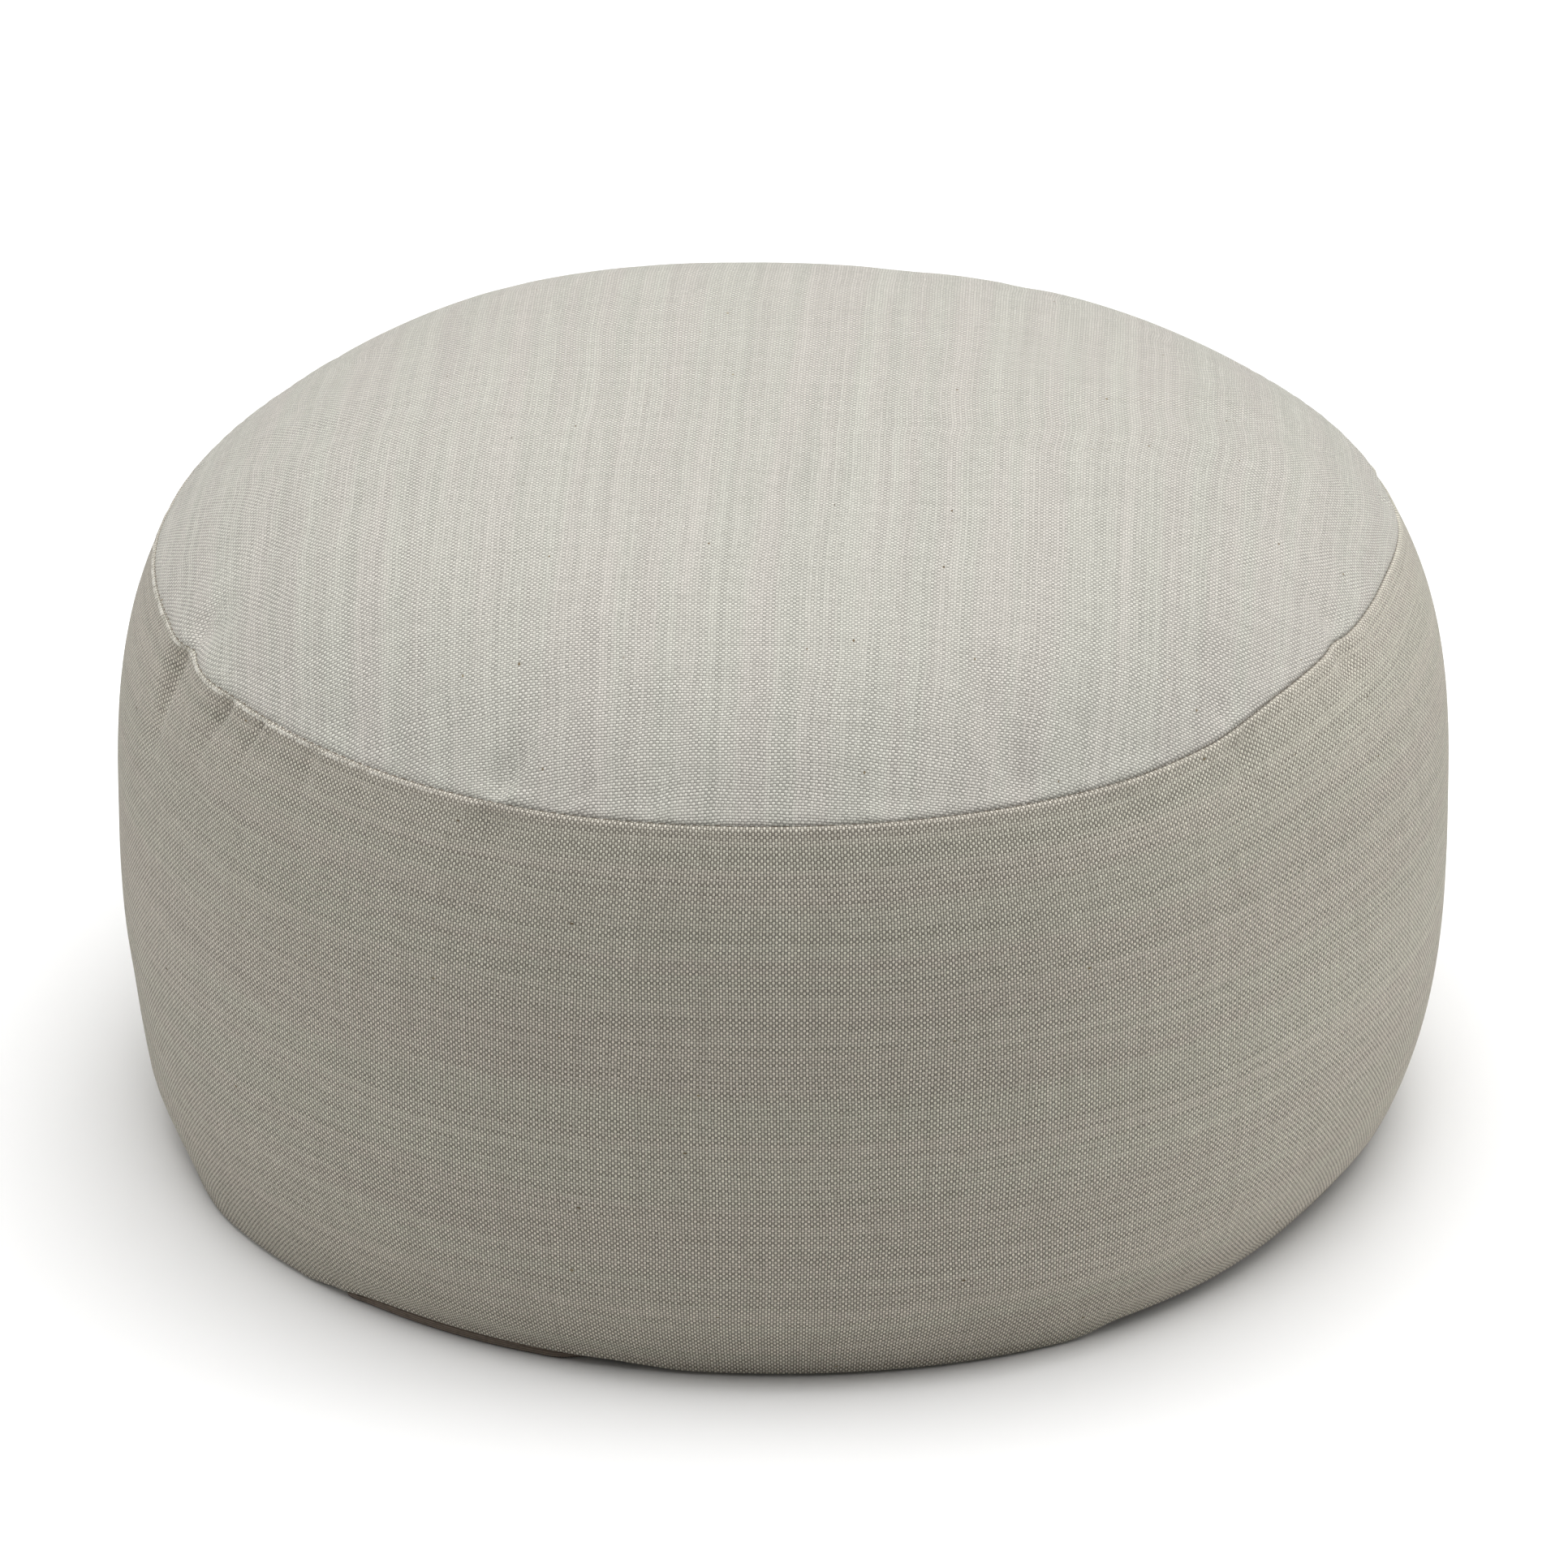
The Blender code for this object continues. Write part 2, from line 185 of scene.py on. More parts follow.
def blown_up(lines):
    """How far each point of the lines moves outward when the cover is filled, without its even swelling."""
    shape = lines[:, ::4]
    count, around = shape.shape[:2]
    points = [tuple(solid_rings[0, 0])]
    points += [tuple(point) for point in shape.reshape(-1, 3)]
    points += [tuple(solid_rings[-1, 0])]
    sides = []
    for step in range(around):
        beside = (step + 1) % around
        sides.append((0, 1 + step, 1 + beside))
        for line in range(count - 1):
            high, low = 1 + line * around, 1 + (line + 1) * around
            sides.append((high + step, low + step, low + beside, high + beside))
        sides.append((1 + (count - 1) * around + step, len(points) - 1, 1 + (count - 1) * around + beside))
    slack_mesh = bpy.data.meshes.new("slack_cover")
    slack_mesh.from_pydata([tuple(SIMULATED_SCALE * value for value in point) for point in points], [], sides)
    slack = bpy.data.objects.new("slack_cover", slack_mesh)
    bpy.context.scene.collection.objects.link(slack)
    remesh = slack.modifiers.new("even weave", "REMESH")
    remesh.mode = "VOXEL"
    remesh.voxel_size = REMESHED_AT
    graph = bpy.context.evaluated_depsgraph_get()
    even_mesh = bpy.data.meshes.new_from_object(slack.evaluated_get(graph), depsgraph=graph)
    slack.modifiers.clear()
    slack.data = even_mesh
    size = len(even_mesh.vertices)
    rest = np.empty(size * 3, np.float32)
    even_mesh.vertices.foreach_get("co", rest)
    rest = rest.reshape(-1, 3).astype(float)
    outward = np.empty(size * 3, np.float32)
    even_mesh.vertices.foreach_get("normal", outward)
    outward = outward.reshape(-1, 3).astype(float)
    sewn = kdtree.KDTree(around)
    for index, point in enumerate(SIMULATED_SCALE * shape[seam_line]):
        sewn.insert(point, index)
    sewn.balance()
    held = slack.vertex_groups.new(name="sewn fast")
    loose = slack.vertex_groups.new(name="eased in")
    for index, point in enumerate(rest):
        away = sewn.find(point)[2]
        if away < SEWN_WITHIN or point[2] < FOOT_HELD_BELOW:
            held.add([index], 1.0, "REPLACE")
        loose.add([index], float(np.clip(1 - away / EXTRA_WITHIN, EXTRA_LEAST, 1.0)), "REPLACE")
    cloth = slack.modifiers.new("filling", "CLOTH")
    settings = cloth.settings
    settings.vertex_group_mass = "sewn fast"
    settings.vertex_group_shrink = "eased in"
    settings.shrink_min = 0.0
    settings.shrink_max = -EXTRA_LENGTH
    settings.use_pressure = True
    settings.uniform_pressure_force = FILLING_PRESSURE
    settings.quality = 6
    settings.mass = 0.3
    settings.tension_stiffness = 25
    settings.compression_stiffness = 25
    settings.shear_stiffness = 8
    settings.bending_stiffness = 0.4
    settings.air_damping = 3
    settings.effector_weights.gravity = 0
    cloth.collision_settings.use_collision = False
    for number in range(1, FILLING_STEPS + 1):
        bpy.context.scene.frame_set(number)
    graph = bpy.context.evaluated_depsgraph_get()
    filled_mesh = slack.evaluated_get(graph).to_mesh()
    filled = np.empty(size * 3, np.float32)
    filled_mesh.vertices.foreach_get("co", filled)
    filled = filled.reshape(-1, 3).astype(float)
    moved = ((filled - rest) * outward).sum(axis=1)
    tree = kdtree.KDTree(size)
    for index, point in enumerate(rest):
        tree.insert(point, index)
    tree.balance()
    slack.evaluated_get(graph).to_mesh_clear()
    slack.modifiers.clear()
    bpy.data.objects.remove(slack, do_unlink=True)
    bpy.context.scene.frame_set(1)
    swell = np.zeros(lines.shape[:2])
    for line in range(lines.shape[0]):
        for step in range(lines.shape[1]):
            near = tree.find_n(SIMULATED_SCALE * lines[line, step], POINTS_READ)
            shares = [1 / (gap + 0.5 * MM) for _, _, gap in near]
            swell[line, step] = sum(s * moved[i] for s, (_, i, _) in zip(shares, near)) / sum(shares)
    parts = np.fft.rfft(swell, axis=1)
    parts[:, : WRINKLES_ROUND[0]] = 0
    parts[:, WRINKLES_ROUND[1] :] = 0
    return np.fft.irfft(parts, n=lines.shape[1], axis=1)


wrinkles = np.zeros(cover_lines.shape[:2])
wrinkles = blown_up(cover_lines)
radius = np.hypot(cover_lines[:, :, 0], cover_lines[:, :, 1])
wrinkles = wrinkles * np.clip(radius / (110 * MM), 0, 1) ** 3
at_back = np.clip(np.sin(np.radians(cover_azimuth)), 0, 1)
wrinkles = wrinkles * (1 - 0.6 * at_back)
wrinkles = WRINKLE_CAP * np.tanh(WRINKLE_GAIN * wrinkles / WRINKLE_CAP)

# How the seam looks round the cushion, in millimetres: at the left the turned edge is full and pale, in front
# a thin dark line shows above it, and at the right the two panels meet in a shadow
# azimuth, crease, turned_edge
SEAM_LOOK = (
    (0, 0.55, 0.10),
    (30, 0.45, 0.22),
    (90, 0.40, 0.28),
    (150, 0.32, 0.32),
    (190, 0.14, 0.30),
    (235, 0.20, 0.30),
    (250, 0.45, 0.30),
    (285, 0.48, 0.26),
    (300, 0.60, 0.15),
    (318, 0.85, 0.03),
    (345, 0.85, 0.0),
)
CREASE_WIDTH = 0.42 * MM
TURNED_EDGE_BELOW = 1.25 * MM
TURNED_EDGE_WIDTH = 1.05 * MM
crease = around_table(SEAM_LOOK, 1) * MM
turned_edge = around_table(SEAM_LOOK, 2) * MM
relief = wrinkles - crease * np.exp(-((from_seam / CREASE_WIDTH) ** 2))
relief = relief + turned_edge * np.exp(-(((from_seam - TURNED_EDGE_BELOW) / TURNED_EDGE_WIDTH) ** 2))

# Small ripples where the cloth was eased into the seam
ripple_draw = np.random.default_rng(7)
RIPPLE_REACH = 6.5 * MM
for panel, size in ((on_band, 0.075 * MM), (~on_band, 0.065 * MM)):
    ripple = np.zeros(COVER_SEGMENTS)
    for waves in range(70, 190, 6):
        phase = ripple_draw.uniform(0, 2 * math.pi)
        ripple += ripple_draw.uniform(0.3, 1.0) * np.sin(np.radians(cover_azimuth) * waves + phase)
    ripple *= size / ripple.std()
    reach = np.exp(-((from_seam / RIPPLE_REACH) ** 2)) * (1 - np.exp(-((from_seam / (1.6 * MM)) ** 2)))
    relief = relief + np.where(panel, ripple[None, :] * reach, 0.0)

# Creases that run away from the seam, each a fine hollow with a soft ridge beside it, in mm and degrees
# panel, azimuth, end_azimuth, reach, width, depth, ridge_side
CREASES = (
    ("band", 201.2, 199.6, 25, 2.8, 1.50, 1),
    ("band", 212.3, 209.5, 17, 2.0, 1.20, 1),
    ("band", 217.4, 215.9, 12, 1.4, 1.30, 1),
    ("band", 224.2, 224.0, 18, 2.2, 0.70, 1),
    ("band", 230.2, 231.0, 13, 1.9, 0.45, 1),
    ("band", 244.0, 245.4, 24, 3.6, 0.75, -1),
    ("band", 302.0, 302.2, 9, 1.8, 0.45, 1),
    ("band", 317.0, 314.0, 13, 2.0, 0.55, -1),
    ("band", 332.6, 331.6, 7, 1.7, 0.50, -1),
    ("band", 12.0, 13.5, 16, 2.2, 0.50, 1),
    ("band", 55.0, 53.0, 13, 2.0, 0.45, -1),
    ("band", 80.0, 79.0, 9, 1.6, 0.40, 1),
    ("band", 104.0, 106.0, 20, 2.4, 0.55, 1),
    ("band", 128.0, 129.5, 16, 2.2, 0.40, -1),
    ("band", 150.0, 148.6, 14, 2.0, 0.50, -1),
    ("band", 178.0, 177.0, 12, 1.8, 0.45, 1),
    ("top", 202.6, 199.8, 12, 1.9, 0.80, 1),
    ("top", 244.2, 244.8, 17, 2.4, 1.05, 1),
    ("top", 250.0, 253.5, 10, 1.8, 0.50, 1),
    ("top", 258.5, 258.0, 20, 3.0, 0.35, 1),
    ("top", 280.0, 280.0, 20, 3.0, 0.32, -1),
    ("top", 292.0, 292.0, 38, 3.6, 0.42, -1),
    ("top", 314.6, 316.4, 15, 2.2, 0.45, 1),
    ("top", 333.4, 336.6, 16, 2.3, 0.65, -1),
    ("top", 2.0, 4.0, 7, 2.0, 0.60, 1),
    ("top", 62.0, 62.5, 15, 2.4, 0.40, 1),
    ("top", 98.0, 97.0, 13, 2.2, 0.35, -1),
    ("top", 140.0, 141.0, 16, 2.4, 0.40, 1),
    ("top", 165.0, 166.0, 10, 2.0, 0.40, -1),
)
RIDGE_SHARE = 0.6
SEAM_HOLDS = 1.3 * MM
away = abs(from_seam)
rim = np.hypot(cover_lines[:, :, 0], cover_lines[:, :, 1])
held_fast = 1 - np.exp(-((away / SEAM_HOLDS) ** 2))
for panel, azimuth, end_azimuth, reach, width, depth, ridge_side in CREASES:
    centre = azimuth + (end_azimuth - azimuth) * away / (reach * MM)
    across = np.radians(angle_between(cover_azimuth[None, :], centre)) * rim / (width * MM)
    fade = held_fast * np.exp(-((away / (reach * MM)) ** 2))
    hollow = np.exp(-(across**2)) - RIDGE_SHARE * np.exp(-((across - 1.8 * ridge_side) ** 2))
    relief = relief - np.where(on_band if panel == "band" else ~on_band, depth * MM * hollow * fade, 0.0)

# Long soft wrinkles low on the band, from one end to the other, in degrees and millimetres
# azimuth, height, end_azimuth, end_height, width, depth
LOW_WRINKLES = (
    (281, 40, 304, 46, 4.5, 0.55),
    (279, 27, 307, 10, 5.0, 0.55),
    (222, 30, 236, 22, 5.0, 0.35),
    (20, 34, 44, 28, 5.0, 0.45),
    (118, 26, 140, 36, 5.0, 0.45),
)
for azimuth, height, end_azimuth, end_height, width, depth in LOW_WRINKLES:
    round_mm = np.radians(angle_between(cover_azimuth[None, :], azimuth)) * rim / MM
    long_mm = math.radians(end_azimuth - azimuth) * 178
    rise_mm = end_height - height
    up_mm = cover_lines[:, :, 2] / MM - height
    length = math.hypot(long_mm, rise_mm)
    along = (round_mm * long_mm + up_mm * rise_mm) / length
    across = (up_mm * long_mm - round_mm * rise_mm) / length / width
    ends = 1 / (1 + np.exp(-along / 6)) / (1 + np.exp((along - length) / 6))
    hollow = np.exp(-(across**2)) - RIDGE_SHARE * np.exp(-((across - 1.8) ** 2))
    relief = relief - np.where(on_band, depth * MM * hollow * ends, 0.0)

cover_lines = cover_lines + normals_of(cover_lines) * relief[:, :, None]

# The hem comes down to the floor gradually at both ends of the bared strip of the base panel, in millimetres
# azimuth, lowered
STRIP_ENDS = (
    (222.7, 0.0),
    (225.0, 2.1),
    (227.2, 1.5),
    (229.5, 0.5),
    (232.0, 0.1),
    (235.0, 0.0),
    (241.0, 0.1),
    (245.0, 0.3),
    (249.0, 0.6),
    (252.0, 0.9),
    (254.2, 1.0),
    (256.5, 0.8),
    (258.7, 0.3),
    (261.5, 0.0),
)
HEM_REACH = 14 * MM
HEM_TURNED_IN = 3 * MM
HEM_ROUNDING = 1.6 * MM
HEM_FADES_OVER = 1.5 * MM
strip_azimuths, strip_lowered = zip(*STRIP_ENDS)
lowered = np.interp(cover_azimuth, strip_azimuths, strip_lowered) * MM
above_hem = np.clip(1 - (hem_at - line_at - HEM_ROUNDING) / HEM_REACH, 0, 1) ** 2
inside_hem = np.clip(1 - (line_at - hem_at - HEM_TURNED_IN) / HEM_FADES_OVER, 0, 1)
hem_moves = np.where(line_at < hem_at, above_hem, inside_hem)
cover_lines[:, :, 2] -= hem_moves[:, None] * lowered[None, :]

corners = np.concatenate([solid_rings[0, :1], cover_lines.reshape(-1, 3), solid_rings[-1, :1]])
step = np.arange(COVER_SEGMENTS)
beside = (step + 1) % COVER_SEGMENTS
top_fan = np.stack([np.zeros_like(step), 1 + step, 1 + beside], axis=1)
last_start = 1 + (line_count - 1) * COVER_SEGMENTS
base_fan = np.stack([last_start + step, np.full_like(step, len(corners) - 1), last_start + beside], axis=1)
starts = 1 + np.arange(line_count - 1)[:, None] * COVER_SEGMENTS
strips = np.stack(
    [starts + step, starts + COVER_SEGMENTS + step, starts + COVER_SEGMENTS + beside, starts + beside], axis=2
)
faces = top_fan.tolist() + strips.reshape(-1, 4).tolist() + base_fan.tolist()
face_line = np.concatenate(
    [
        np.zeros(COVER_SEGMENTS, int),
        np.repeat(np.arange(line_count - 1) + 1, COVER_SEGMENTS),
        np.full(COVER_SEGMENTS, line_count),
    ]
)
face_step = np.tile(step, line_count + 1)
cover_mesh = bpy.data.meshes.new("linen_cover")
cover_mesh.from_pydata(corners.tolist(), [], faces)

# Where each face corner lies in the flat cloth, in metres: U runs along the slubby weft, front to back on the
# top panel and round the cushion on the band. Distances from the top's middle and below the seam are those of
# the cloth.
TOP_PANEL_TURN = math.radians(2.5)
WARP_PITCH = 0.79 * MM
WEFT_PITCH = 0.75 * MM
BAND_THREADS_ROUND = 1432
loops = np.empty(len(cover_mesh.loops), np.int32)
cover_mesh.loops.foreach_get("vertex_index", loops)
loop_face = np.repeat(np.arange(len(faces)), [len(face) for face in faces])
loop_step = (loops - 1) % COVER_SEGMENTS
loop_line = np.clip((loops - 1) // COVER_SEGMENTS, 0, line_count - 1)
wraps = (face_step[loop_face] == COVER_SEGMENTS - 1) & (loop_step == 0)
band_length = BAND_THREADS_ROUND * WARP_PITCH
band_u = (loop_step + np.where(wraps, COVER_SEGMENTS, 0)) / COVER_SEGMENTS * band_length
band_v = seam_at - line_at[loop_line]
from_middle = np.where(loops == 0, 0.0, line_at[loop_line])
turn = np.radians(cover_azimuth[loop_step]) + TOP_PANEL_TURN
top_u = from_middle * np.sin(turn)
top_v = -from_middle * np.cos(turn)
on_top = face_line[loop_face] <= seam_line
cloth_map = cover_mesh.uv_layers.new(name="cloth")
flat = np.stack([np.where(on_top, top_u, band_u), np.where(on_top, top_v, band_v)], axis=1)
cloth_map.data.foreach_set("uv", flat.astype(np.float32).ravel())
cover_mesh.polygons.foreach_set("material_index", np.where(face_line <= seam_line, 0, 1).astype(np.int32))
cover_mesh.shade_smooth()
cover = bpy.data.objects.new("linen_cover", cover_mesh)
bpy.context.scene.collection.objects.link(cover)


def fed(tree, sockets, values):
    """Feeds each socket from another socket, or sets its value."""
    for socket, value in zip(sockets, values):
        if isinstance(value, bpy.types.NodeSocket):
            tree.links.new(value, socket)
        else:
            socket.default_value = value


OF_VECTORS = "ShaderNodeVectorMath"


def wire(tree, operation, *values, kind="ShaderNodeMath"):
    """A math node fed by sockets or numbers, and its output."""
    node = tree.nodes.new(kind)
    node.operation = operation
    fed(tree, node.inputs, values)
    return node.outputs[0]


def blend_of(tree, share, low, high):
    """A number that goes from low to high with share."""
    node = tree.nodes.new("ShaderNodeMix")
    fed(tree, (node.inputs[0], node.inputs[2], node.inputs[3]), (share, low, high))
    return node.outputs[0]


def colour_of(tree, share, low, high, blend="MIX"):
    """A colour that goes from low to high with share."""
    node = tree.nodes.new("ShaderNodeMix")
    node.data_type = "RGBA"
    node.blend_type = blend
    fed(tree, (node.inputs[0], node.inputs[6], node.inputs[7]), (share, low, high))
    return node.outputs[2]


def ramp_of(tree, value, low, high):
    """0 below low, 1 above high, and smooth between."""
    node = tree.nodes.new("ShaderNodeMapRange")
    node.interpolation_type = "SMOOTHSTEP"
    fed(tree, node.inputs[:3], (value, low, high))
    return node.outputs[0]


def point_of(tree, x, y, z=0.0):
    """A vector from three sockets or numbers."""
    node = tree.nodes.new("ShaderNodeCombineXYZ")
    fed(tree, node.inputs, (x, y, z))
    return node.outputs[0]


def parts_of(tree, vector):
    """The three numbers of a vector."""
    node = tree.nodes.new("ShaderNodeSeparateXYZ")
    tree.links.new(vector, node.inputs[0])
    return node.outputs


def noise_of(tree, vector, scale, detail=2.0, roughness=0.5, colour=False):
    """A soft noise from 0 to 1 about 0.5, or three of them as a colour."""
    node = tree.nodes.new("ShaderNodeTexNoise")
    tree.links.new(vector, node.inputs["Vector"])
    node.inputs["Scale"].default_value = scale
    node.inputs["Detail"].default_value = detail
    node.inputs["Roughness"].default_value = roughness
    return node.outputs[1 if colour else 0]


def group_of(name, inputs, outputs):
    """An empty shader node group with these named sockets, its input sockets and its output sockets."""
    tree = bpy.data.node_groups.new(name, "ShaderNodeTree")
    for label, kind, value in inputs:
        socket = tree.interface.new_socket(label, in_out="INPUT", socket_type=kind)
        if value is not None:
            socket.default_value = value
    for label, kind in outputs:
        tree.interface.new_socket(label, in_out="OUTPUT", socket_type=kind)
    return tree, tree.nodes.new("NodeGroupInput").outputs, tree.nodes.new("NodeGroupOutput").inputs


def placed(tree, group, **values):
    """A node group in a material, fed by name, and its outputs."""
    node = tree.nodes.new("ShaderNodeGroup")
    node.node_tree = group
    for label, value in values.items():
        fed(tree, [node.inputs[label.replace("_", " ")]], [value])
    return node.outputs


# Plain weave: weft threads along U and warp threads along V pass over each other by turns. The warp is the
# tighter spun, so it shows as narrow ovals, and each weft thread dips out of sight beside it.
weave, weave_in, weave_out = group_of(
    "plain weave",
    [
        ("Cloth", "NodeSocketVector", None),
        ("Warp pitch", "NodeSocketFloat", WARP_PITCH),
        ("Weft pitch", "NodeSocketFloat", WEFT_PITCH),
        ("Relief", "NodeSocketFloat", 0.2),
    ],
    [
        ("Height", "NodeSocketFloat"),
        ("Weft on top", "NodeSocketFloat"),
        ("Weft thread", "NodeSocketFloat"),
        ("Warp thread", "NodeSocketFloat"),
        ("Tilt", "NodeSocketColor"),
    ],
)
WARP_ROUNDNESS = (3.7, 1.7)  # how fast a warp thread falls away across and along it
WEFT_ROUNDNESS = (2.9, 3.1)  # and a weft thread along and across it
WEFT_LIES_AT = 0.8
HAND_WOVEN = 0.30
LINE_WANDER = 2.6
wobble = noise_of(weave, weave_in["Cloth"], 420.0, 1.0, 0.5, colour=True)
wander = noise_of(weave, weave_in["Cloth"], 22.0, 1.0, 0.5, colour=True)
small = wire(weave, "MULTIPLY_ADD", wobble, (HAND_WOVEN,) * 3, (-0.5 * HAND_WOVEN,) * 3, kind=OF_VECTORS)
large = wire(weave, "MULTIPLY_ADD", wander, (LINE_WANDER,) * 3, (-0.5 * LINE_WANDER,) * 3, kind=OF_VECTORS)
astray = parts_of(weave, wire(weave, "ADD", small, large, kind=OF_VECTORS))
cloth_u, cloth_v, _ = parts_of(weave, weave_in["Cloth"])
across_warp = wire(weave, "ADD", wire(weave, "DIVIDE", cloth_u, weave_in["Warp pitch"]), astray[0])
across_weft = wire(weave, "ADD", wire(weave, "DIVIDE", cloth_v, weave_in["Weft pitch"]), astray[1])
warp_thread = wire(weave, "FLOOR", across_warp)
weft_thread = wire(weave, "FLOOR", across_weft)
in_u = wire(weave, "SUBTRACT", wire(weave, "FRACT", across_warp), 0.5)
in_v = wire(weave, "SUBTRACT", wire(weave, "FRACT", across_weft), 0.5)
weft_up = wire(weave, "FLOORED_MODULO", wire(weave, "ADD", warp_thread, weft_thread), 2.0)
falls_u = blend_of(weave, weft_up, WARP_ROUNDNESS[0], WEFT_ROUNDNESS[0])
falls_v = blend_of(weave, weft_up, WARP_ROUNDNESS[1], WEFT_ROUNDNESS[1])
left_u = wire(weave, "SUBTRACT", 1.0, wire(weave, "MULTIPLY", falls_u, wire(weave, "MULTIPLY", in_u, in_u)))
left_v = wire(weave, "SUBTRACT", 1.0, wire(weave, "MULTIPLY", falls_v, wire(weave, "MULTIPLY", in_v, in_v)))
lies_at = blend_of(weave, weft_up, 1.0, WEFT_LIES_AT)
lean_u = wire(weave, "MULTIPLY", wire(weave, "MULTIPLY", falls_u, in_u), left_v)
lean_v = wire(weave, "MULTIPLY", wire(weave, "MULTIPLY", falls_v, in_v), left_u)
lean_by = wire(weave, "MULTIPLY", weave_in["Relief"], 2.0)
steep_u = wire(weave, "MULTIPLY", lean_u, lean_by)
steep_v = wire(weave, "MULTIPLY", lean_v, lean_by)
leaning = point_of(weave, steep_u, steep_v, 1.0)
unit = wire(weave, "NORMALIZE", leaning, kind=OF_VECTORS)
halved = wire(weave, "MULTIPLY_ADD", unit, (0.5,) * 3, (0.5,) * 3, kind=OF_VECTORS)
roundness = wire(weave, "MULTIPLY", left_u, left_v)
weave.links.new(wire(weave, "MULTIPLY", roundness, lies_at), weave_out["Height"])
weave.links.new(weft_up, weave_out["Weft on top"])
weave.links.new(weft_thread, weave_out["Weft thread"])
weave.links.new(warp_thread, weave_out["Warp thread"])
weave.links.new(halved, weave_out["Tilt"])

# Slubby linen yarn: each thread has its own tone that drifts along it and flecks where it was spun unevenly
yarn, yarn_in, yarn_out = group_of(
    "slubby yarn",
    [
        ("Thread", "NodeSocketFloat", 0.0),
        ("Along", "NodeSocketVector", None),
        ("Seed", "NodeSocketFloat", 0.0),
        ("Whole", "NodeSocketFloat", 0.2),
    ],
    [("Tone", "NodeSocketFloat")],
)
lot = yarn.nodes.new("ShaderNodeTexWhiteNoise")
lot.noise_dimensions = "2D"
yarn.links.new(point_of(yarn, yarn_in["Thread"], yarn_in["Seed"]), lot.inputs["Vector"])
apart = wire(yarn, "MULTIPLY", lot.outputs["Value"], 97.0)
drift_place = wire(yarn, "ADD", yarn_in["Along"], point_of(yarn, 0.0, 0.0, apart), kind=OF_VECTORS)
drift = noise_of(yarn, drift_place, 22.0, 3.0, 0.6)
fleck = noise_of(yarn, drift_place, 260.0, 2.0, 0.6)
DRIFT_SHARE = 0.32
FLECK_SHARE = 0.5
varied = wire(yarn, "MULTIPLY", wire(yarn, "SUBTRACT", drift, 0.5), 2 * DRIFT_SHARE)
flecked = wire(yarn, "MULTIPLY", wire(yarn, "SUBTRACT", fleck, 0.5), 2 * FLECK_SHARE)
own = wire(yarn, "MULTIPLY", wire(yarn, "SUBTRACT", lot.outputs["Value"], 0.5), yarn_in["Whole"])
yarn.links.new(
    wire(yarn, "ADD", wire(yarn, "ADD", wire(yarn, "ADD", varied, flecked), own), 0.5), yarn_out["Tone"]
)

# Seed specks: bits of flax husk caught in the yarn, long the way of the weft
specks, specks_in, specks_out = group_of(
    "flax specks",
    [("Cloth", "NodeSocketVector", None), ("Per metre", "NodeSocketFloat", 46.0)],
    [("Speck", "NodeSocketFloat"), ("Shade", "NodeSocketFloat")],
)
speck_u, speck_v, _ = parts_of(specks, specks_in["Cloth"])
cells = specks.nodes.new("ShaderNodeTexVoronoi")
cells.voronoi_dimensions = "2D"
specks.links.new(point_of(specks, wire(specks, "MULTIPLY", speck_u, 0.6), speck_v), cells.inputs["Vector"])
specks.links.new(specks_in["Per metre"], cells.inputs["Scale"])
chance = specks.nodes.new("ShaderNodeSeparateColor")
specks.links.new(cells.outputs["Color"], chance.inputs[0])
present = ramp_of(specks, chance.outputs[0], 0.60, 0.62)
size = wire(specks, "MULTIPLY_ADD", chance.outputs[1], 0.009, 0.007)
near = wire(specks, "LESS_THAN", cells.outputs["Distance"], size)
specks.links.new(wire(specks, "MULTIPLY", present, near), specks_out["Speck"])
specks.links.new(chance.outputs[2], specks_out["Shade"])

HUSK_DARK = (0.13, 0.095, 0.06, 1)
HUSK_OLIVE = (0.28, 0.23, 0.14, 1)
# the linen as it shows on each panel, one cloth in two sets of colours: thread colours, the dark of the holes
# between threads, which is painted shade, and how deep they look. The band's set has paler thread tops and
# darker holes than the top's: painted light and shade for the overhead light grazing the band
# warp_pale, warp_deep, weft_pale, weft_deep, hole_shade, relief, hole_below, streaks
TOP_LINEN = (
    (0.74, 0.717, 0.668, 1), (0.561, 0.543, 0.50, 1), (0.533, 0.515, 0.477, 1), (0.337, 0.328, 0.301, 1),
    (0.16, 0.153, 0.136, 1), 0.17, 0.62, 0.45,
)
BAND_LINEN = (
    (0.88, 0.838, 0.745, 1), (0.58, 0.547, 0.478, 1), (0.52, 0.491, 0.426, 1), (0.27, 0.25, 0.213, 1),
    (0.055, 0.046, 0.035, 1), 0.21, 0.68, 0.30,
)
# painted highlight on the folded edge of the band just under the seam, where it turns up to the light, from
# the back left to the front
LIP_HIGHLIGHT = (0.86, 0.835, 0.77, 1)
LIP_HIGHLIGHT_BELOW = 1.05 * MM
LIP_HIGHLIGHT_HALF_WIDTH = 0.75 * MM
LIP_HIGHLIGHT_FROM, LIP_HIGHLIGHT_TO = 0.47, 0.70
LIP_HIGHLIGHT_MOST = 0.6
# toward the rim of the top panel the threads are pulled about: FROM and FULLY are distances from its middle
EASED_FROM, EASED_FULLY = 100 * MM, 145 * MM
EASED_BY = 2.4 * MM
# on the right of the band the painted shade in the holes between threads is lighter, more and more between
# these distances from the middle
LESS_HOLE_SHADE_FROM, LESS_HOLE_SHADE_FULLY = 40 * MM, 155 * MM
LESS_HOLE_SHADE_BELOW = 0.46
GREENISH = (0.985, 1.0, 0.97, 1)
PINKISH = (1.0, 0.984, 0.972, 1)


